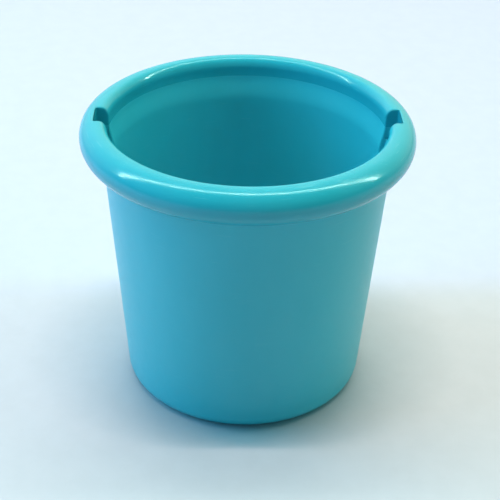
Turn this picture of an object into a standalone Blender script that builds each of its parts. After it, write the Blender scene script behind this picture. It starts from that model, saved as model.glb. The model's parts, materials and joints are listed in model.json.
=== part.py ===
"""Sand bucket: a tapered pail, and a fat rounded rim ring pressed over the top edge of its wall.

Two upright slots, one at each side, run down through the ring and into the wall's inner face. They take the
ends of a carrying handle. Units are metres and +Z is up. The origin is the middle of the foot, the slots lie
on the X axis, and the front of the bucket faces -Y.
"""

import math

import bmesh
import bpy

# Whole bucket
RIM_RADIUS = 0.0650  # outside of the rim ring
HEIGHT = 0.1156  # foot to the crest of the rim
FIT_GAP = 0.0003  # between the ring and the wall that it sits on

# Rim ring
BEAD_HEIGHT = 0.0140
BEAD_OUTER_WIDTH = 0.0071  # crest to the outside
CREST_FLAT = 0.0006
INNER_ROUND_WIDTH = 0.00295  # crest to the ring's inner face
INNER_ROUND_HEIGHT = 0.0038

# Pail
WALL_TOP_RADIUS = 0.0570  # outside of the wall at the middle of the bead
FOOT_RADIUS = 0.0487  # outside of the wall, continued down to the ground
WALL_THICKNESS = 0.0036
WALL_TOP = 0.1080  # the ring rests on this edge
MOUTH_RADIUS = 0.0543  # inside of the wall at its top edge
FLARE_BOTTOM = 0.0985  # the inner face opens out above this height
EDGE_ROUND = 0.0004
FOOT_CORNER = 0.0055
FLOOR_CORNER = 0.0040
FLOOR_TOP = 0.0050
RECESS_RADIUS = 0.0360  # shallow hollow under the floor, inside the flat foot
RECESS_DEPTH = 0.0012

# Handle slots
SLOT_WIDTH = 0.0118
SLOT_OUTER_RADIUS = 0.0591  # flat end wall of the slot inside the ring
SLOT_CORNER = 0.0008
POCKET_FLOOR = 0.1030  # the deep part of the slot ends here, inside the ring
GROOVE_BOTTOM = 0.0948  # the shallow part runs on down the wall's inner face
GROOVE_DEPTH = 0.0022

SEGMENTS = 72
BEAD_STEPS = 12
CORNER_STEPS = 4

BEAD_MIDDLE = HEIGHT - BEAD_HEIGHT / 2
BEAD_BOTTOM = HEIGHT - BEAD_HEIGHT
CREST_OUTER = RIM_RADIUS - BEAD_OUTER_WIDTH
CREST_INNER = CREST_OUTER - CREST_FLAT
RING_INNER_FACE = CREST_INNER - INNER_ROUND_WIDTH
TAPER = (WALL_TOP_RADIUS - FOOT_RADIUS) / BEAD_MIDDLE
TAPER_ANGLE = math.atan(TAPER)


def outer_radius(height):
    """Outside radius of the pail's wall at a height."""
    return FOOT_RADIUS + TAPER * height


def inner_radius(height):
    """Inside radius of the pail's wall below the flare."""
    return outer_radius(height) - WALL_THICKNESS


def arc(centre, width, height, start, end, steps):
    """Points on an ellipse round centre, from the start angle to the end angle in radians."""
    points = []
    for step in range(steps + 1):
        angle = start + (end - start) * step / steps
        points.append((centre[0] + width * math.cos(angle), centre[1] + height * math.sin(angle)))
    return points


def corner(wall_radius, floor_height, radius):
    """Rounds the corner between the tapered wall and a level floor, from the wall down to the floor."""
    height = floor_height + radius
    centre = (wall_radius(height) - radius / math.cos(TAPER_ANGLE), height)
    return arc(centre, radius, radius, -TAPER_ANGLE, -math.pi / 2, CORNER_STEPS)


def pail_profile():
    """Section of the pail, from the middle of its underside out, up the wall and back to the floor's middle."""
    points = [(0.0, RECESS_DEPTH), (RECESS_RADIUS - RECESS_DEPTH, RECESS_DEPTH), (RECESS_RADIUS, 0.0)]
    points += reversed(corner(outer_radius, 0.0, FOOT_CORNER))
    points.append((outer_radius(WALL_TOP), WALL_TOP))
    edge = (MOUTH_RADIUS + EDGE_ROUND, WALL_TOP - EDGE_ROUND)
    points += arc(edge, EDGE_ROUND, EDGE_ROUND, math.pi / 2, math.pi, 2)
    points.append((inner_radius(FLARE_BOTTOM), FLARE_BOTTOM))
    points += corner(inner_radius, FLOOR_TOP, FLOOR_CORNER)
    points.append((0.0, FLOOR_TOP))
    return points


def ring_profile():
    """Section of the rim ring: a rounded bead, cut away inside to sit on the wall's top and over its outside."""
    seat = WALL_TOP + FIT_GAP
    bead = (CREST_OUTER, BEAD_MIDDLE)
    inner = (CREST_INNER, HEIGHT - INNER_ROUND_HEIGHT)
    points = arc(bead, BEAD_OUTER_WIDTH, BEAD_HEIGHT / 2, -math.pi / 2, math.pi / 2, BEAD_STEPS)
    points += arc(inner, INNER_ROUND_WIDTH, INNER_ROUND_HEIGHT, math.pi / 2, math.pi, CORNER_STEPS)
    points.append((RING_INNER_FACE, seat))
    points.append((outer_radius(seat) + FIT_GAP, seat))
    points.append((outer_radius(BEAD_BOTTOM) + FIT_GAP, BEAD_BOTTOM))
    return points


def plastic(name, colour, roughness):
    """Plain moulded plastic."""
    material = bpy.data.materials.new(name)
    material.use_nodes = True
    shader = material.node_tree.nodes["Principled BSDF"]
    shader.inputs["Base Color"].default_value = (*colour, 1.0)
    shader.inputs["Roughness"].default_value = roughness
    shader.inputs["Metallic"].default_value = 0.0
    material.diffuse_color = (*colour, 1.0)
    return material


def add_object(name, mesh_builder, material=None):
    """Turns a finished bmesh into a named object in the scene."""
    mesh = bpy.data.meshes.new(name)
    mesh_builder.to_mesh(mesh)
    mesh_builder.free()
    result = bpy.data.objects.new(name, mesh)
    bpy.context.scene.collection.objects.link(result)
    if material:
        mesh.materials.append(material)
    return result


def turned(name, profile, closed, material):
    """Spins a section once round the Z axis into a smooth-shaded solid."""
    build = bmesh.new()
    corners = [build.verts.new((radius, 0.0, height)) for radius, height in profile]
    edges = [build.edges.new(pair) for pair in zip(corners, corners[1:])]
    if closed:
        edges.append(build.edges.new((corners[-1], corners[0])))
    bmesh.ops.spin(
        build,
        geom=corners + edges,
        cent=(0.0, 0.0, 0.0),
        axis=(0.0, 0.0, 1.0),
        angle=2 * math.pi,
        steps=SEGMENTS,
    )
    bmesh.ops.remove_doubles(build, verts=build.verts, dist=0.00001)
    bmesh.ops.recalc_face_normals(build, faces=build.faces)
    result = add_object(name, build, material)
    result.data.shade_smooth()
    result.data.set_sharp_from_angle(angle=math.radians(35))
    return result


def slot_cutter(name, side, outer_wall, bottom, top, tilt):
    """A box that cuts one slot from the inside of the bucket out to its flat outer wall."""
    inside = SLOT_OUTER_RADIUS * 0.8
    build = bmesh.new()
    bmesh.ops.create_cube(build, size=1.0)
    size = (outer_wall - inside, SLOT_WIDTH, top - bottom)
    bmesh.ops.scale(build, verts=build.verts, vec=size)
    upright = [edge for edge in build.edges if all(vert.co.x > 0 for vert in edge.verts)]
    upright = [edge for edge in upright if abs(edge.verts[0].co.z - edge.verts[1].co.z) > SLOT_WIDTH / 4]
    bmesh.ops.bevel(build, geom=upright, offset=SLOT_CORNER, segments=2, profile=0.5, affect="EDGES")
    bmesh.ops.translate(build, verts=build.verts, vec=(-size[0] / 2, 0.0, size[2] / 2))
    cutter = add_object(name, build)
    facing = 0.0 if side > 0 else math.pi
    cutter.rotation_euler = (0.0, side * tilt, facing)
    cutter.location = (side * outer_wall, 0.0, bottom)
    cutter.hide_render = True
    cutter.display_type = "WIRE"
    return cutter


def cut(piece, cutters):
    """Cuts each cutter's shape out of a piece."""
    for cutter in cutters:
        boolean = piece.modifiers.new(cutter.name, "BOOLEAN")
        boolean.operation = "DIFFERENCE"
        boolean.solver = "EXACT"
        boolean.object = cutter


def main():
    for old in list(bpy.data.objects):
        bpy.data.objects.remove(old)
    satin = plastic("satin_plastic", (0.035, 0.330, 0.390), 0.42)
    gloss = plastic("gloss_plastic", (0.040, 0.380, 0.430), 0.22)
    body = turned("bucket_body", pail_profile(), False, satin)
    ring = turned("rim_ring", ring_profile(), True, gloss)
    groove_wall = inner_radius(GROOVE_BOTTOM) + GROOVE_DEPTH
    pockets = []
    grooves = []
    for side, label in ((-1, "left"), (1, "right")):
        pockets.append(
            slot_cutter("pocket_" + label, side, SLOT_OUTER_RADIUS, POCKET_FLOOR, HEIGHT + 0.002, 0.0)
        )
        grooves.append(
            slot_cutter("groove_" + label, side, groove_wall, GROOVE_BOTTOM, POCKET_FLOOR + 0.002, TAPER_ANGLE)
        )
    cut(ring, pockets)
    cut(body, pockets + grooves)


main()
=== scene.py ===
"""Sand bucket: the finished look of a tapered plastic pail with a fat glossy rim and two handle slots.

Lengths are in metres. The bucket stands on the ground with its middle on the Z axis, its handle slots lie on
the X axis, and its front faces -Y. The rim's outline, the wall's top edge and the slots' end walls are read
from the packed model, and the other sizes follow the ones that it was made with.
"""

import json
import math

import bmesh
import bpy
import numpy as np
from bpy.props import FloatProperty, FloatVectorProperty, PointerProperty
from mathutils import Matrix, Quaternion, Vector


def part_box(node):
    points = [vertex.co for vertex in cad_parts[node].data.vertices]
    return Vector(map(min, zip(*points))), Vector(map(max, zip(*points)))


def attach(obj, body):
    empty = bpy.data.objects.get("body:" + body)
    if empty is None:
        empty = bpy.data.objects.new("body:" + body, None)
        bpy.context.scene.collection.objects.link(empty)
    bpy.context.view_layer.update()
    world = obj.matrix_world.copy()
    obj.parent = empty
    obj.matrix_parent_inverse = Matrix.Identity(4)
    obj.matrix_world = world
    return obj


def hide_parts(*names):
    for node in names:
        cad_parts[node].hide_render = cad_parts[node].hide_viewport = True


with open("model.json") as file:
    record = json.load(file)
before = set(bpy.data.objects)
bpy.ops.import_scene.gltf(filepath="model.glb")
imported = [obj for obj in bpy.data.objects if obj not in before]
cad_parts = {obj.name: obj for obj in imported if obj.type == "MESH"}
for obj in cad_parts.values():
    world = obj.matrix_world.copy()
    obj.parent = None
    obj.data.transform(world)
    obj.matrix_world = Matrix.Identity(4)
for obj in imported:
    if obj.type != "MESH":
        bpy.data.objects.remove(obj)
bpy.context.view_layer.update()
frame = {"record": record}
PAIL_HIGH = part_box("bucket_body")[1]
RIM_LOW, RIM_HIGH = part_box("rim_ring")
SLOT_MOUNT = next(mount for mount in frame["record"]["mounts"] if mount["name"] == "handle_slot_right")

bl_info = {
    "name": "Sand bucket",
    "version": (1, 0, 0),
    "blender": (4, 5, 0),
    "location": "3D View > Sidebar > Bucket",
    "description": "Builds a plastic sand bucket with a rounded rim and two handle slots",
    "category": "Add Mesh",
}

MM = 0.001
RIGHT_ANGLE = math.pi / 2

# Shape of the columns
PLAIN_HEIGHT = 60 * MM  # below this the wall is evenly round
SQUARING_HEIGHT = 28 * MM  # above it, columns beside a slot turn parallel to the slot over this height
STRAIGHT_POINTS = 6  # columns from a slot's middle to the start of its rounded corner
ROUNDED_POINTS = 5  # points across that corner
FIRST_STEP = math.radians(1.3)  # from a slot's side to the next column
SIDE_COLUMNS = 57  # columns from there to a quarter turn away
FADE_ANGLE = math.radians(22.0)  # over this angle the columns go from parallel to fanned out
AXIS_MARGIN = 1 * MM  # keeps points near the Z axis in range
BEAD_STEPS = 36  # round the outside of the rim, up to the slots' end walls
SEAT_ROW = 0.5 * MM  # a row of points on a pocket's end wall, this far above the ring's seat
SKIRT_ROW = 2 * MM  # a row of points on the skirt, this far above a pocket's floor
GATE_SPREAD = 1.25  # how much wider the moulding mark's foot is than its tip

# Finishing of the meshes
WELD_DISTANCE = 0.002 * MM  # points closer than this become one
SHARP_ANGLE = math.radians(35)  # steeper edges stay sharp
LIP_ANGLE = math.radians(50)  # steeper edges of the slots are rounded
LIP_MARGIN = 0.01 * MM  # a point this far beyond a slot's side still belongs to the slot
LIP_STEPS = 4  # across each rounded edge

# Stage
FLOOR_RADIUS = 4.0
FLOOR_SIDES = 96
FLOOR_SHADE_STEP = (40 * MM, 75 * MM)  # behind the middle, where the floor's painted shade in front goes over to the far colour
LIGHT_AIM = Vector((0.0, 0.0, 0.08))
OVERHEAD = (0.0, 0.10, 0.95)  # where the strip and the tube hang, both along X
SENSOR_WIDTH = 36.0  # in millimetres
CAMERA_AIM = Vector((1.9 * MM, 0.0, 54.4 * MM))


# ---------------------------------------------------------------------------------------------------------
# Settings


def length(label, text, default):
    """A distance that shows in the sidebar."""
    return FloatProperty(
        name=label,
        description=text,
        default=default,
        unit="LENGTH",
        subtype="DISTANCE",
        precision=5,
    )


def share(label, text, default):
    """A plain number from 0 to 1."""
    return FloatProperty(name=label, description=text, default=default, min=0.0, max=1.0, subtype="FACTOR")


def colour(label, text, default):
    """A linear colour."""
    return FloatVectorProperty(
        name=label,
        description=text,
        default=default,
        size=3,
        min=0,
        max=1,
        subtype="COLOR",
    )


def angle(label, text, degrees):
    """An angle, given in degrees and kept in radians."""
    return FloatProperty(
        name=label,
        description=text,
        default=math.radians(degrees),
        unit="ROTATION",
        subtype="ANGLE",
    )


def watts(label, text, default):
    """The power of one lamp."""
    return FloatProperty(name=label, description=text, default=default, min=0.0, unit="POWER")


class BUCKET_PG_pail(bpy.types.PropertyGroup):
    """Sizes of the pail's wall and floor."""

    wall_top: length("Wall top", "Height of the wall's top edge, under the rim", PAIL_HIGH.z)
    foot_radius: length("Foot radius", "Outside of the wall, carried on down to the ground", 48.7 * MM)
    taper: FloatProperty(name="Taper", description="How much the radius grows with height", default=0.0764)
    wall: length("Wall thickness", "Thickness of the side wall", 3.6 * MM)
    mouth_gain: length("Mouth gain", "How far the inner face opens out at the rim", 1.0 * MM)
    flare_bottom: length("Flare bottom", "The inner face opens out above this height", 98.0 * MM)
    foot_corner: length("Foot corner", "Outside rounding between wall and foot", 5.5 * MM)
    floor_top: length("Floor height", "Top of the floor inside", 5.0 * MM)
    floor_corner: length("Floor corner", "Inside rounding between wall and floor", 4.0 * MM)
    recess_radius: length("Recess radius", "Shallow hollow under the floor", 36.0 * MM)
    recess_depth: length("Recess depth", "How deep that hollow is", 1.2 * MM)
    gate_radius: length("Gate radius", "Moulding mark in the middle of the underside", 1.5 * MM)
    gate_height: length("Gate height", "How far the moulding mark stands out", 0.5 * MM)


class BUCKET_PG_rim(bpy.types.PropertyGroup):
    """Sizes of the rounded rim ring."""

    radius: length("Rim radius", "Outside of the rim", RIM_HIGH.x)
    top: length("Rim top", "Height of the crest", RIM_HIGH.z)
    bottom: length("Rim bottom", "Height of the ring's lower edge", RIM_LOW.z)
    outer_width: length("Outer width", "From the crest to the outside", 7.1 * MM)
    crest_flat: length("Crest flat", "Level band along the crest", 0.6 * MM)
    inner_width: length("Inner width", "From the crest to the inner face", 2.95 * MM)
    inner_drop: length("Inner drop", "Height of the rounding at the inner edge", 3.8 * MM)
    seam: length("Seam", "Hairline gap between ring and wall", 0.02 * MM)


class BUCKET_PG_slots(bpy.types.PropertyGroup):
    """Sizes of the two handle slots."""

    width: length("Width", "Slot width", 11.8 * MM)
    end: length("End wall", "From the middle to the slot's flat end wall", abs(SLOT_MOUNT["pos_m"][0]))
    corner: length("Corner", "Rounding of the slot's upright corners", 0.8 * MM)
    pocket_floor: length("Pocket floor", "The deep part of the slot ends at this height", 103.0 * MM)
    groove_bottom: length("Groove bottom", "The shallow part ends at this height", 94.8 * MM)
    groove_depth: length("Groove depth", "Depth of the shallow part", 2.2 * MM)
    lip: length("Lip", "Rounding of the slot's outer edges", 0.6 * MM)


class BUCKET_PG_plastic(bpy.types.PropertyGroup):
    """Colours and finish of the moulded plastic."""

    pail_colour: colour("Pail colour", "Colour of the pail", (0.028, 0.420, 0.515))
    rim_colour: colour("Rim colour", "Colour of the rim", (0.018, 0.342, 0.432))
    pail_roughness: share("Pail roughness", "Satin wall", 0.36)
    rim_roughness: share("Rim roughness", "Glossy rim", 0.17)
    scuff_colour: colour("Scuff colour", "Dry sand scuffs and fine scratches", (0.230, 0.600, 0.640))


class BUCKET_PG_stage(bpy.types.PropertyGroup):
    """Floor, lights and camera."""

    # the near floor colour is painted shade: the floor is coloured darker in front of the bucket in place of
    # light falling off
    near_floor_painted_shade: colour("Near floor", "Floor in front of the bucket", (0.400, 0.445, 0.495))
    floor_far: colour("Far floor", "Floor behind the bucket", (0.400, 0.460, 0.575))
    surround_left: colour("Left surround", "Light from the left", (0.050, 0.175, 0.285))
    surround_right: colour("Right surround", "Light from the right", (0.075, 0.140, 0.110))
    surround_back: colour("Back surround", "Light from behind", (0.700, 0.600, 0.440))
    key_power: watts("Key light", "Narrow light overhead", 18.0)
    back_power: watts("Back light", "Wide window behind", 18.0)
    front_power: watts("Front light", "Low fill in front, a little higher than the rim", 2.3)
    strip_power: watts("Strip light", "Thin light overhead", 8.5)
    tube_power: watts("Tube light", "Long row of tubes overhead that draws the highlight on the rim", 48.0)
    high_power: watts("High front light", "Cool fill that reaches into the bucket", 0.15)
    left_power: watts("Left light", "Cool window light from the left", 8.0)
    right_power: watts("Right light", "Fill light from the right", 2.2)
    lens: FloatProperty(name="Lens", description="Focal length in millimetres", default=87.57)
    camera_turn: angle("Camera turn", "Camera direction, from the front towards the right", -1.74)
    camera_away: length("Camera distance", "Level distance from the bucket's middle", 424.2 * MM)
    camera_height: length("Camera height", "Height above the ground", 319.05 * MM)
    camera_roll: angle("Camera roll", "Sideways tilt of the camera", 1.328)


SETTINGS = {
    "bucket_pail": BUCKET_PG_pail,
    "bucket_rim": BUCKET_PG_rim,
    "bucket_slots": BUCKET_PG_slots,
    "bucket_plastic": BUCKET_PG_plastic,
    "bucket_stage": BUCKET_PG_stage,
}


# ---------------------------------------------------------------------------------------------------------
# Sections: lists of (radius, height) points


def line(start, end, steps):
    """Even points on a straight line."""
    return np.linspace(start, end, steps + 1)


def arc(centre, width, height, start, end, steps):
    """Points on an ellipse round centre, from one angle to another."""
    turn = np.linspace(start, end, steps + 1)
    return np.column_stack((centre[0] + width * np.cos(turn), centre[1] + height * np.sin(turn)))


def join(*stretches):
    """One path out of stretches that each start where the last one ended."""
    return np.concatenate([stretches[0]] + [stretch[1:] for stretch in stretches[1:]])


def smooth_share(value):
    """0 to 1 with level ends."""
    value = np.clip(value, 0.0, 1.0)
    return value * value * (3.0 - 2.0 * value)


def outer_radius(pail, height):
    """Outside radius of the pail's wall at a height."""
    return pail.foot_radius + pail.taper * height


def inner_radius(pail, height):
    """Inside radius of the pail's wall, with the mouth opening out towards the rim."""
    opening = smooth_share((height - pail.flare_bottom) / (pail.wall_top - pail.flare_bottom))
    return outer_radius(pail, height) - pail.wall + pail.mouth_gain * opening


def floor_corner(pail, offset, floor_height, radius, steps):
    """Rounds the corner between the tapered wall and a level floor, from the wall down to the floor."""
    lean = math.atan(pail.taper)
    height = floor_height + radius
    centre = (outer_radius(pail, height) - offset - radius / math.cos(lean), height)
    return arc(centre, radius, radius, -lean, -RIGHT_ANGLE, steps)


def underside(pail):
    """Underside from its middle out: moulding mark, hollow, and the rounded step down to the flat foot."""
    ceiling = pail.recess_depth
    soft = pail.recess_depth / 2
    tip = ceiling - pail.gate_height
    gate_foot = pail.gate_radius * GATE_SPREAD
    ceiling_edge = pail.recess_radius - 2 * soft
    return join(
        line((0.0, tip), (pail.gate_radius, tip), 2),
        line((pail.gate_radius, tip), (gate_foot, ceiling), 3),
        line((gate_foot, ceiling), (ceiling_edge, ceiling), 10),
        arc((ceiling_edge, ceiling - soft), soft, soft, RIGHT_ANGLE, 0.0, 5),
        arc((pail.recess_radius, soft), soft, soft, math.pi, 1.5 * math.pi, 5),
    )


def wall_face(pail, low, high, steps, inside=False):
    """Straight or flaring stretch of the wall's outer or inner face."""
    heights = np.linspace(low, high, steps + 1)
    radii = inner_radius(pail, heights) if inside else outer_radius(pail, heights)
    return np.column_stack((radii, heights))


# ---------------------------------------------------------------------------------------------------------
# Columns: the sections set round the bucket, with flat-sided slots


def slot_offsets(slots):
    """Sideways places of the columns across half a slot, from its middle to its flat side."""
    straight = slots.width / 2 - slots.corner
    flat = np.linspace(0.0, straight, STRAIGHT_POINTS)
    turn = np.linspace(0.0, RIGHT_ANGLE, ROUNDED_POINTS)
    return np.concatenate((flat, straight + slots.corner * np.sin(turn[1:])))


def end_wall(slots, distance, offset):
    """Distance of a slot's end wall at a sideways place, drawn in at its rounded upright corners."""
    into_corner = max(abs(offset) - (slots.width / 2 - slots.corner), 0.0)
    return distance - slots.corner + math.sqrt(max(slots.corner**2 - into_corner**2, 0.0))


def turned_points(section, bearing, squareness, reach):
    """Sets a section upright at a bearing.

    Beside a slot its points lie in one plane parallel to the slot's sides, and farther away they fan out
    evenly. reach is the radius at which both agree.
    """
    radius, height = section[:, 0], section[:, 1]
    offset = reach * math.sin(bearing)
    flat = np.arcsin(np.clip(offset / np.maximum(radius, abs(offset) + AXIS_MARGIN), -1.0, 1.0))
    turn = bearing + squareness * (flat - bearing)
    return np.column_stack((radius * np.cos(turn), radius * np.sin(turn), height))


def flat_points(path, offset):
    """Sets a path of (distance, height) points in the plane at a sideways place."""
    return np.column_stack((path[:, 0], np.full(len(path), offset), path[:, 1]))


def flat_distance(radius, offset):
    """Distance along X at which a circle of that radius crosses the plane at a sideways place."""
    return math.sqrt(radius**2 - offset**2)


def all_columns(slots, full, slotted, squareness, reach):
    """Columns all the way round: full sections, and slotted sections across the two slots."""
    half = slots.width / 2
    edge = math.asin(half / reach)
    across = slot_offsets(slots)
    across = np.concatenate((-across[:0:-1], across))
    beside = np.linspace(edge + FIRST_STEP, RIGHT_ANGLE, SIDE_COLUMNS)
    fade = 1.0 - smooth_share((beside - edge) / FADE_ANGLE)
    away = [turned_points(full, turn, squareness * near, reach) for turn, near in zip(beside, fade)]
    side = [turned_points(full, edge, squareness, reach)] + away
    mirrored = [column * (1.0, -1.0, 1.0) for column in reversed(side[:-1])]
    one_half = mirrored + [slotted(offset) for offset in across] + side
    return one_half + [column * (-1.0, -1.0, 1.0) for column in one_half]


def bridge(build, columns, closed):
    """Joins neighbouring columns with quads and marks each corner with its row."""
    tag = build.verts.layers.int.new("row")
    strips = []
    for points in columns:
        strip = [build.verts.new(point) for point in points]
        for row, vert in enumerate(strip):
            vert[tag] = row
        strips.append(strip)
    rows = len(strips[0])
    for here, there in zip(strips, strips[1:] + strips[:1]):
        for row in range(rows if closed else rows - 1):
            above = (row + 1) % rows
            build.faces.new((here[row], there[row], there[above], here[above]))
    bmesh.ops.remove_doubles(build, verts=build.verts, dist=WELD_DISTANCE)
    bmesh.ops.dissolve_degenerate(build, edges=build.edges, dist=WELD_DISTANCE)
    bmesh.ops.recalc_face_normals(build, faces=build.faces)
    return tag


def soften_lips(build, tag, rows, half_width, radius):
    """Rounds the convex edges where the slots cut through the smooth surface."""

    def in_slot(vert):
        """Whether a point belongs to the cut."""
        return rows[0] <= vert[tag] <= rows[1] and abs(vert.co.y) < half_width + LIP_MARGIN

    lips = []
    for edge in build.edges:
        steep = edge.is_convex and edge.calc_face_angle(0.0) >= LIP_ANGLE
        if steep and all(in_slot(vert) for vert in edge.verts):
            lips.append(edge)
    bmesh.ops.bevel(
        build,
        geom=lips,
        offset=radius,
        offset_type="OFFSET",
        segments=LIP_STEPS,
        profile=0.5,
        affect="EDGES",
        clamp_overlap=False,
    )


def build_piece(name, columns, closed, lip_rows, slots, material):
    """Makes one moulded piece from its columns."""
    build = bmesh.new()
    tag = bridge(build, columns, closed)
    soften_lips(build, tag, lip_rows, slots.width / 2, slots.lip)
    bmesh.ops.recalc_face_normals(build, faces=build.faces)
    build.verts.layers.int.remove(build.verts.layers.int["row"])
    mesh = bpy.data.meshes.new(name)
    build.to_mesh(mesh)
    build.free()
    mesh.materials.append(material)
    mesh.shade_smooth()
    mesh.set_sharp_from_angle(angle=SHARP_ANGLE)
    piece = bpy.data.objects.new(name, mesh)
    bpy.context.scene.collection.objects.link(piece)
    weighted = piece.modifiers.new("even_shading", "WEIGHTED_NORMAL")
    weighted.keep_sharp = True
    return piece


def pail_columns(pail, slots):
    """Columns of the pail, and the first and last row of its slot lips."""
    reach = outer_radius(pail, pail.wall_top)
    floor = slots.pocket_floor
    groove_wall = inner_radius(pail, slots.groove_bottom) + slots.groove_depth
    foot_round = floor_corner(pail, 0.0, 0.0, pail.foot_corner, 12)
    lower = join(
        underside(pail),
        line((pail.recess_radius, 0.0), foot_round[-1], 3),
        foot_round[::-1],
        wall_face(pail, foot_round[0][1], PLAIN_HEIGHT, 6),
        wall_face(pail, PLAIN_HEIGHT, floor, 12),
    )
    top_outer = (outer_radius(pail, pail.wall_top), pail.wall_top)
    top_inner = (inner_radius(pail, pail.wall_top), pail.wall_top)
    over_top = join(wall_face(pail, floor, pail.wall_top, 4), line(top_outer, top_inner, 3))
    face_low = slots.groove_bottom + slots.lip * 2
    down_face = wall_face(pail, pail.wall_top, face_low, 16, inside=True)
    last_face = wall_face(pail, face_low, slots.groove_bottom, 2, inside=True)
    corner_inside = floor_corner(pail, pail.wall, pail.floor_top, pail.floor_corner, 8)
    inside = join(
        wall_face(pail, slots.groove_bottom, PLAIN_HEIGHT, 8, inside=True),
        wall_face(pail, PLAIN_HEIGHT, corner_inside[0][1], 6, inside=True),
        corner_inside,
        line(corner_inside[-1], (0.0, pail.floor_top), 10),
    )
    full = join(lower, over_top, down_face, last_face, inside)
    squareness = smooth_share((full[:, 1] - PLAIN_HEIGHT) / SQUARING_HEIGHT)

    def slotted(offset):
        """Section across a slot: pocket floor, groove wall and groove bottom in place of the wall's top."""
        bearing = math.asin(offset / reach)
        lean = pail.taper * (floor - slots.groove_bottom)
        wall_low = end_wall(slots, groove_wall, offset)
        outside = (flat_distance(outer_radius(pail, floor), offset), floor)
        brink = (wall_low + lean, floor)
        foot = (wall_low, slots.groove_bottom)
        lip = (flat_distance(inner_radius(pail, slots.groove_bottom), offset), slots.groove_bottom)
        before = turned_points(lower, bearing, squareness[: len(lower)], reach)
        after = turned_points(inside, bearing, squareness[-len(inside) :], reach)
        cut = join(
            line(outside, brink, len(over_top) - 1),
            line(brink, foot, len(down_face) - 1),
            line(foot, lip, len(last_face) - 1),
        )
        return join(before, flat_points(cut, offset), after)

    first_lip = len(lower) + len(over_top) - 2
    last_lip = first_lip + len(down_face) + len(last_face) - 2
    return all_columns(slots, full, slotted, squareness, reach), (first_lip, last_lip)


def rim_columns(pail, rim, slots):
    """Columns of the rim ring, and the first and last row of its slot lips."""
    reach = outer_radius(pail, pail.wall_top)
    bead_height = rim.top - rim.bottom
    middle = rim.bottom + bead_height / 2
    crest_outer = rim.radius - rim.outer_width
    crest_inner = crest_outer - rim.crest_flat
    seat = pail.wall_top + rim.seam
    inner_low = (crest_inner - rim.inner_width, rim.top - rim.inner_drop)
    inner_foot = inner_radius(pail, pail.wall_top)

    def bead(start, end, steps):
        """Stretch of the rounded outside."""
        return arc((crest_outer, middle), rim.outer_width, bead_height / 2, start, end, steps)

    def down_inner_face(steps):
        """The ring's inner face, which ends with the wall's own slope so that the two run on smoothly."""
        down = np.linspace(0.0, 1.0, steps + 1)
        drop = inner_low[1] - seat
        swell = drop * pail.taper * (1.0 - down) * down**2
        radii = inner_low[0] + (inner_foot - inner_low[0]) * down + swell
        return np.column_stack((radii, inner_low[1] - drop * down))

    def brink_angle(offset):
        """Where the pocket's end wall meets the rounded outside."""
        radius = math.hypot(end_wall(slots, slots.end, offset), offset)
        return math.acos((radius - crest_outer) / rim.outer_width)

    def skirt(height):
        """Inner face of the skirt, a hairline away from the wall."""
        return outer_radius(pail, height) + rim.seam

    half = slots.width / 2
    over_crest = join(
        bead(brink_angle(half), RIGHT_ANGLE, 2),
        line((crest_outer, rim.top), (crest_inner, rim.top), 2),
        arc((crest_inner, inner_low[1]), rim.inner_width, rim.inner_drop, RIGHT_ANGLE, math.pi, 18),
        down_inner_face(8),
    )
    along_seat = line((inner_foot, seat), (skirt(seat), seat), 3)
    skirt_break = slots.pocket_floor + SKIRT_ROW
    upper_skirt = line((skirt(seat), seat), (skirt(skirt_break), skirt_break), 4)
    lower_skirt = line((skirt(skirt_break), skirt_break), (skirt(slots.pocket_floor), slots.pocket_floor), 3)
    outside = bead(-RIGHT_ANGLE, brink_angle(half), BEAD_STEPS)
    under = join(
        line((skirt(slots.pocket_floor), slots.pocket_floor), (skirt(rim.bottom), rim.bottom), 2),
        line((skirt(rim.bottom), rim.bottom), (crest_outer, rim.bottom), 3),
    )[:-1]
    full = join(outside, over_crest, along_seat, upper_skirt, lower_skirt, under)

    def slotted(offset):
        """Section across a slot: the pocket's end wall and floor in place of the crest and seat."""
        bearing = math.asin(offset / reach)
        wall = end_wall(slots, slots.end, offset)
        around = bead(-RIGHT_ANGLE, brink_angle(offset), BEAD_STEPS)
        inner = flat_distance(skirt(slots.pocket_floor), offset)
        stops = (around[-1][1], seat + SEAT_ROW, seat, slots.pocket_floor)
        matched = (over_crest, along_seat, upper_skirt)
        drops = [
            line((wall, high), (wall, low), len(stretch) - 1)
            for high, low, stretch in zip(stops, stops[1:], matched)
        ]
        floor = line((wall, slots.pocket_floor), (inner, slots.pocket_floor), len(lower_skirt) - 1)
        return join(
            turned_points(around, bearing, 1.0, reach),
            flat_points(join(*drops, floor), offset),
            turned_points(under, bearing, 1.0, reach),
        )

    first_lip = len(outside) - 1
    last_lip = first_lip + len(over_crest) - 1
    return all_columns(slots, full, slotted, 1.0, reach), (first_lip, last_lip)


# ---------------------------------------------------------------------------------------------------------
# Materials


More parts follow.
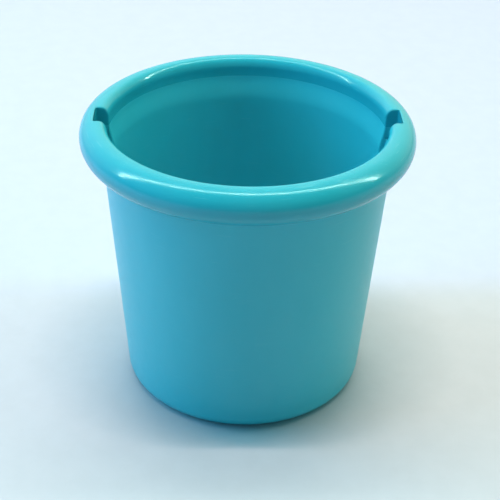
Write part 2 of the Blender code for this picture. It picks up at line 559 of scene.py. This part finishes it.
class Wiring:
    """Adds nodes to a tree and links them by name."""

    def __init__(self, tree):
        self.tree = tree
        self.column = 0

    def add(self, kind, settings=None, **inputs):
        """Adds a node. An input is a value, or a socket to link."""
        node = self.tree.nodes.new(kind)
        node.location = (self.column * 190, -(self.column % 4) * 160)
        self.column += 1
        for key, value in (settings or {}).items():
            setattr(node, key, value)
        for key, value in inputs.items():
            self.feed(node, key.replace("_", " "), value)
        return node

    def feed(self, node, name, value):
        """Sets or links one input, found by its name or by its number."""
        socket = node.inputs[name]
        if isinstance(value, bpy.types.NodeSocket):
            self.tree.links.new(value, socket)
        else:
            socket.default_value = value

    def sums(self, operation, first, second, clamp=False):
        """A Math node's result."""
        node = self.add("ShaderNodeMath", {"operation": operation, "use_clamp": clamp})
        self.feed(node, 0, first)
        self.feed(node, 1, second)
        return node.outputs[0]

    def ramp(self, value, low, high, out_low=0.0, out_high=1.0):
        """Maps a value smoothly from one range to another."""
        node = self.add("ShaderNodeMapRange", {"interpolation_type": "SMOOTHSTEP"})
        names = ("Value", "From Min", "From Max", "To Min", "To Max")
        for name, number in zip(names, (value, low, high, out_low, out_high)):
            self.feed(node, name, number)
        return node.outputs["Result"]

    def mix(self, factor, first, second, blend="MIX"):
        """Mixes two colours. The node's colour inputs are its numbers 6 and 7, and its colour output is 2."""
        node = self.add("ShaderNodeMix", {"data_type": "RGBA", "blend_type": blend})
        self.feed(node, 0, factor)
        self.feed(node, 6, first)
        self.feed(node, 7, second)
        return node.outputs[2]

    def noise(self, place, scale, detail=2.0, roughness=0.5):
        """Grey noise, read at a place."""
        node = self.add("ShaderNodeTexNoise", Vector=place, Scale=scale, Detail=detail, Roughness=roughness)
        return node.outputs["Fac"]


def new_group(name, sockets):
    """An empty shader node group with named sockets, its wiring, and its input and output nodes."""
    group = bpy.data.node_groups.new(name, "ShaderNodeTree")
    for direction, kind, label, default in sockets:
        socket = group.interface.new_socket(name=label, in_out=direction, socket_type=kind)
        if default is not None:
            socket.default_value = default
    wiring = Wiring(group)
    given = wiring.add("NodeGroupInput")
    result = group.nodes.new("NodeGroupOutput")
    result.location = (3000, 0)
    return group, wiring, given, result


def moulded_grain():
    """The fine skin of moulded plastic: cloudy pigment, a soft orange-peel height and uneven gloss."""
    if "moulded_grain" in bpy.data.node_groups:
        return bpy.data.node_groups["moulded_grain"]
    group, wiring, given, result = new_group(
        "moulded_grain",
        (
            ("INPUT", "NodeSocketColor", "Colour", (0.5, 0.5, 0.5, 1.0)),
            ("INPUT", "NodeSocketFloat", "Pigment clouds", 0.05),
            ("INPUT", "NodeSocketFloat", "Roughness", 0.3),
            ("INPUT", "NodeSocketFloat", "Gloss change", 0.04),
            ("INPUT", "NodeSocketFloat", "Peel size", 900.0),
            ("INPUT", "NodeSocketFloat", "Peel depth", 1.0),
            ("OUTPUT", "NodeSocketColor", "Colour", None),
            ("OUTPUT", "NodeSocketFloat", "Roughness", None),
            ("OUTPUT", "NodeSocketFloat", "Height", None),
        ),
    )
    place = wiring.add("ShaderNodeTexCoord").outputs["Object"]
    stretch = wiring.add("ShaderNodeMapping", Vector=place, Scale=(1.0, 1.0, 0.35)).outputs["Vector"]
    clouds = wiring.noise(stretch, scale=55.0, detail=3.0, roughness=0.55)
    swing = wiring.sums("MULTIPLY", wiring.sums("SUBTRACT", clouds, 0.5), given.outputs["Pigment clouds"])
    shift = wiring.add(
        "ShaderNodeHueSaturation",
        Color=given.outputs["Colour"],
        Value=wiring.sums("ADD", 1.0, swing),
        Saturation=wiring.sums("SUBTRACT", 1.0, wiring.sums("MULTIPLY", swing, 0.8)),
    )
    peel = wiring.noise(place, scale=given.outputs["Peel size"], detail=3.0, roughness=0.55)
    blotches = wiring.noise(place, scale=240.0)
    uneven = wiring.sums("MULTIPLY", wiring.sums("SUBTRACT", blotches, 0.5), given.outputs["Gloss change"])
    rough = wiring.sums("ADD", given.outputs["Roughness"], uneven, clamp=True)
    wiring.feed(result, "Colour", shift.outputs["Color"])
    wiring.feed(result, "Roughness", rough)
    wiring.feed(result, "Height", wiring.sums("MULTIPLY", peel, given.outputs["Peel depth"]))
    return group


def sand_wear():
    """Marks of use: fine criss-cross scratches, and dry scuffs that gather towards the worn height."""
    if "sand_wear" in bpy.data.node_groups:
        return bpy.data.node_groups["sand_wear"]
    group, wiring, given, result = new_group(
        "sand_wear",
        (
            ("INPUT", "NodeSocketFloat", "Scratches", 0.5),
            ("INPUT", "NodeSocketFloat", "Scuffs", 0.5),
            ("INPUT", "NodeSocketFloat", "Clear height", 0.01),
            ("INPUT", "NodeSocketFloat", "Worn height", 0.0),
            ("OUTPUT", "NodeSocketFloat", "Scratches", None),
            ("OUTPUT", "NodeSocketFloat", "Scuffs", None),
        ),
    )
    place = wiring.add("ShaderNodeTexCoord").outputs["Object"]
    marks = []
    for tilt, seed in ((0.35, 0.0), (-0.6, 4.0), (1.2, 9.0)):
        turned = wiring.add(
            "ShaderNodeMapping",
            Vector=place,
            Location=(seed, seed, 0.0),
            Rotation=(tilt, 0.4 * tilt, tilt),
            Scale=(60.0, 60.0, 2600.0),
        )
        thread = wiring.noise(turned.outputs["Vector"], scale=1.0, detail=1.0, roughness=0.4)
        marks.append(wiring.ramp(thread, 0.70, 0.76))
    crossed = wiring.sums("MAXIMUM", wiring.sums("MAXIMUM", marks[0], marks[1]), marks[2])
    broken = wiring.ramp(wiring.noise(place, scale=120.0), 0.48, 0.62)
    fine = wiring.sums("MULTIPLY", wiring.sums("MULTIPLY", crossed, broken), given.outputs["Scratches"])
    height = wiring.add("ShaderNodeSeparateXYZ", Vector=place).outputs["Z"]
    band = wiring.ramp(height, given.outputs["Clear height"], given.outputs["Worn height"])
    specks = wiring.ramp(wiring.noise(place, scale=1500.0, detail=4.0, roughness=0.7), 0.52, 0.68)
    patches = wiring.ramp(wiring.noise(place, scale=160.0, detail=3.0, roughness=0.6), 0.45, 0.65)
    dusty = wiring.sums("MULTIPLY", wiring.sums("MULTIPLY", specks, patches), band)
    wiring.feed(result, "Scratches", fine)
    wiring.feed(result, "Scuffs", wiring.sums("MULTIPLY", dusty, given.outputs["Scuffs"]))
    return group


def moulded_plastic(name, base, scuff, finish, wear):
    """Moulded plastic with grain, scratches and scuffs."""
    material = bpy.data.materials.new(name)
    material.use_nodes = True
    tree = material.node_tree
    shader = tree.nodes["Principled BSDF"]
    wiring = Wiring(tree)
    grain = wiring.add("ShaderNodeGroup", {"node_tree": moulded_grain()}, Colour=(*base, 1.0), **finish)
    worn = wiring.add("ShaderNodeGroup", {"node_tree": sand_wear()}, **wear)
    marks = wiring.sums("MAXIMUM", worn.outputs["Scratches"], worn.outputs["Scuffs"])
    tint = wiring.mix(marks, grain.outputs["Colour"], (*scuff, 1.0))
    rough = wiring.sums("ADD", grain.outputs["Roughness"], wiring.sums("MULTIPLY", marks, 0.35), clamp=True)
    cut = wiring.sums("MULTIPLY", worn.outputs["Scratches"], 0.6)
    height = wiring.sums("SUBTRACT", grain.outputs["Height"], cut)
    bump = wiring.add("ShaderNodeBump", Strength=0.35, Distance=0.02 * MM, Height=height)
    wiring.feed(shader, "Base Color", tint)
    wiring.feed(shader, "Roughness", rough)
    wiring.feed(shader, "Normal", bump.outputs["Normal"])
    shader.inputs["Metallic"].default_value = 0.0
    shader.inputs["IOR"].default_value = 1.5
    return material


def satin_plastic(look):
    """The pail's satin wall."""
    finish = {
        "Roughness": look.pail_roughness,
        "Pigment_clouds": 0.06,
        "Gloss_change": 0.08,
        "Peel_size": 1100.0,
        "Peel_depth": 1.0,
    }
    wear = {"Scratches": 0.10, "Scuffs": 0.45, "Clear_height": 9 * MM, "Worn_height": 0.0}
    return moulded_plastic("satin_turquoise_plastic", look.pail_colour, look.scuff_colour, finish, wear)


def gloss_plastic(look):
    """The rim's glossy skin."""
    finish = {
        "Roughness": look.rim_roughness,
        "Pigment_clouds": 0.05,
        "Gloss_change": 0.06,
        "Peel_size": 700.0,
        "Peel_depth": 0.6,
    }
    wear = {"Scratches": 0.12, "Scuffs": 0.12, "Clear_height": RIM_HIGH.z - 4 * MM, "Worn_height": RIM_HIGH.z}
    return moulded_plastic("gloss_turquoise_plastic", look.rim_colour, look.scuff_colour, finish, wear)


def floor_paint(stage):
    """Matt pale floor, with painted shade that makes it a little darker in front of the bucket, and bluer
    behind it.
    """
    material = bpy.data.materials.new("matt_floor_with_painted_shade")
    material.use_nodes = True
    shader = material.node_tree.nodes["Principled BSDF"]
    wiring = Wiring(material.node_tree)
    place = wiring.add("ShaderNodeTexCoord").outputs["Object"]
    depth = wiring.add("ShaderNodeSeparateXYZ", Vector=place).outputs["Y"]
    # painted shade: the floor's colour is darker in front of the bucket and goes over to the far colour
    # behind it
    share_far = wiring.ramp(depth, *FLOOR_SHADE_STEP)
    tint = wiring.mix(share_far, (*stage.near_floor_painted_shade, 1.0), (*stage.floor_far, 1.0))
    clouds = wiring.noise(place, scale=90.0, detail=4.0, roughness=0.6)
    mottle = wiring.ramp(clouds, 0.3, 0.7, out_low=0.985, out_high=1.015)
    shade = wiring.add("ShaderNodeHueSaturation", Color=tint, Value=mottle)
    tooth = wiring.noise(place, scale=1400.0, detail=3.0, roughness=0.6)
    bump = wiring.add("ShaderNodeBump", Strength=0.2, Distance=0.1 * MM, Height=tooth)
    wiring.feed(shader, "Base Color", shade.outputs["Color"])
    wiring.feed(shader, "Normal", bump.outputs["Normal"])
    shader.inputs["Roughness"].default_value = 0.6
    shader.inputs["Specular IOR Level"].default_value = 0.25
    return material


# ---------------------------------------------------------------------------------------------------------
# Stage


def add_floor(stage):
    """A wide, level, round floor."""
    build = bmesh.new()
    bmesh.ops.create_circle(build, cap_ends=True, segments=FLOOR_SIDES, radius=FLOOR_RADIUS)
    mesh = bpy.data.meshes.new("floor")
    build.to_mesh(mesh)
    build.free()
    mesh.materials.append(floor_paint(stage))
    floor = bpy.data.objects.new("floor", mesh)
    bpy.context.scene.collection.objects.link(floor)


def add_soft_light(name, power, tint, size, place, reflected_only=False):
    """A rectangular soft light at a place, facing the bucket.

    It lights surfaces without being mirrored in them. With reflected_only it is mirrored and lights nothing.
    """
    lamp = bpy.data.lights.new(name, "AREA")
    lamp.shape = "RECTANGLE"
    lamp.size, lamp.size_y = size
    lamp.energy = power
    lamp.color = tint
    light = bpy.data.objects.new(name, lamp)
    light.location = place
    light.rotation_euler = (LIGHT_AIM - light.location).to_track_quat("-Z", "Y").to_euler()
    light.visible_camera = False
    light.visible_glossy = reflected_only
    light.visible_diffuse = not reflected_only
    bpy.context.scene.collection.objects.link(light)


def add_lights(stage):
    """Three narrow lights overhead, a window behind, two cool fills in front, and one fill at each side.

    The tube draws the long highlight on the rim. Each light has a tint, a size and a place.
    """
    add_soft_light("key_light", stage.key_power, (1.0, 0.76, 0.64), (0.7, 0.03), (0.0, -0.125, 1.6))
    add_soft_light("strip_light", stage.strip_power, (0.86, 0.94, 0.82), (2.0, 0.02), OVERHEAD)
    add_soft_light("tube_light", stage.tube_power, (0.60, 1.0, 0.92), (5.2, 0.026), OVERHEAD, True)
    add_soft_light("back_light", stage.back_power, (1.0, 0.91, 0.82), (1.6, 0.5), (0.0, 1.3, 0.8))
    add_soft_light("front_light", stage.front_power, (0.35, 0.85, 1.0), (1.2, 0.2), (0.0, -1.2, 0.22))
    add_soft_light("high_light", stage.high_power, (0.20, 0.66, 1.0), (0.8, 0.4), (-0.3, -1.0, 0.9))
    add_soft_light("left_light", stage.left_power, (0.16, 0.68, 1.0), (0.6, 0.6), (-0.9, 0.04, 0.48))
    add_soft_light("right_light", stage.right_power, (0.26, 1.0, 0.76), (0.6, 0.6), (0.9, 0.04, 0.48))


def add_surround(stage):
    """Soft light from all round: blue on the left, green on the right, brightest behind, darkest in front."""
    world = bpy.data.worlds.new("surround")
    world.use_nodes = True
    background = world.node_tree.nodes["Background"]
    wiring = Wiring(world.node_tree)
    way = wiring.add("ShaderNodeTexCoord").outputs["Generated"]
    along = wiring.add("ShaderNodeSeparateXYZ", Vector=way)
    dark = (0.0, 0.0, 0.0, 1.0)
    tint = wiring.mix(wiring.ramp(along.outputs["X"], 0.3, -0.9), dark, (*stage.surround_left, 1.0))
    right = wiring.mix(wiring.ramp(along.outputs["X"], -0.3, 0.9), dark, (*stage.surround_right, 1.0))
    back = wiring.mix(wiring.ramp(along.outputs["Y"], -0.2, 0.8), dark, (*stage.surround_back, 1.0))
    for part in (right, back):
        tint = wiring.mix(1.0, tint, part, "ADD")
    wiring.feed(background, "Color", tint)
    bpy.context.scene.world = world


def add_camera(stage):
    """Camera in front of the bucket and above it, looking down into it."""
    data = bpy.data.cameras.new("camera")
    data.lens = stage.lens
    data.sensor_width = SENSOR_WIDTH
    camera = bpy.data.objects.new("camera", data)
    bpy.context.scene.collection.objects.link(camera)
    away, turn = stage.camera_away, stage.camera_turn
    place = Vector((away * math.sin(turn), -away * math.cos(turn), stage.camera_height))
    roll = Quaternion((0.0, 0.0, 1.0), stage.camera_roll)
    camera.location = place
    camera.rotation_euler = ((CAMERA_AIM - place).to_track_quat("-Z", "Y") @ roll).to_euler()
    bpy.context.scene.camera = camera


# ---------------------------------------------------------------------------------------------------------
# Operators and panel


def check_closed(piece):
    """Stops if a piece's skin has a hole or a loose edge."""
    build = bmesh.new()
    build.from_mesh(piece.data)
    open_edges = sum(1 for edge in build.edges if len(edge.link_faces) != 2)
    build.free()
    if open_edges:
        raise RuntimeError(f"{piece.name} isn't closed: {open_edges} open edges")


class BUCKET_OT_pail(bpy.types.Operator):
    """Build the tapered pail with its handle grooves"""

    bl_idname = "bucket.pail"
    bl_label = "Pail"

    def execute(self, context):
        scene = context.scene
        slots = scene.bucket_slots
        columns, lips = pail_columns(scene.bucket_pail, slots)
        piece = build_piece("pail", columns, False, lips, slots, satin_plastic(scene.bucket_plastic))
        check_closed(piece)
        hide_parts("bucket_body")
        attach(piece, "root")
        return {"FINISHED"}


class BUCKET_OT_rim(bpy.types.Operator):
    """Build the rounded rim ring with its handle pockets"""

    bl_idname = "bucket.rim"
    bl_label = "Rim ring"

    def execute(self, context):
        scene = context.scene
        slots = scene.bucket_slots
        columns, lips = rim_columns(scene.bucket_pail, scene.bucket_rim, slots)
        piece = build_piece("rim", columns, True, lips, slots, gloss_plastic(scene.bucket_plastic))
        check_closed(piece)
        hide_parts("rim_ring")
        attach(piece, "root")
        return {"FINISHED"}


class BUCKET_OT_stage(bpy.types.Operator):
    """Set up the floor, the soft lights, the surround and the camera"""

    bl_idname = "bucket.stage"
    bl_label = "Floor, lights and camera"

    def execute(self, context):
        stage = context.scene.bucket_stage
        add_floor(stage)
        add_lights(stage)
        add_surround(stage)
        add_camera(stage)
        context.scene.view_settings.view_transform = "Standard"
        return {"FINISHED"}


OPERATORS = (BUCKET_OT_pail, BUCKET_OT_rim, BUCKET_OT_stage)


class BUCKET_PT_panel(bpy.types.Panel):
    """Lists the bucket's settings and the steps that build it"""

    bl_idname = "BUCKET_PT_panel"
    bl_label = "Sand bucket"
    bl_space_type = "VIEW_3D"
    bl_region_type = "UI"
    bl_category = "Bucket"

    def draw(self, context):
        layout = self.layout
        for attribute, group in SETTINGS.items():
            box = layout.box()
            box.label(text=group.__doc__)
            for name in group.__annotations__:
                box.prop(getattr(context.scene, attribute), name)
        for operator in OPERATORS:
            layout.operator(operator.bl_idname)


CLASSES = (*SETTINGS.values(), *OPERATORS, BUCKET_PT_panel)


def register():
    """Adds the settings, the operators and the panel."""
    for item in CLASSES:
        bpy.utils.register_class(item)
    for attribute, group in SETTINGS.items():
        setattr(bpy.types.Scene, attribute, PointerProperty(type=group))


def unregister():
    """Takes them away again."""
    for attribute in SETTINGS:
        delattr(bpy.types.Scene, attribute)
    for item in reversed(CLASSES):
        bpy.utils.unregister_class(item)


def main():
    """Builds everything in order."""
    register()
    bpy.ops.bucket.pail()
    bpy.ops.bucket.rim()
    bpy.ops.bucket.stage()


if __name__ == "__main__":
    main()
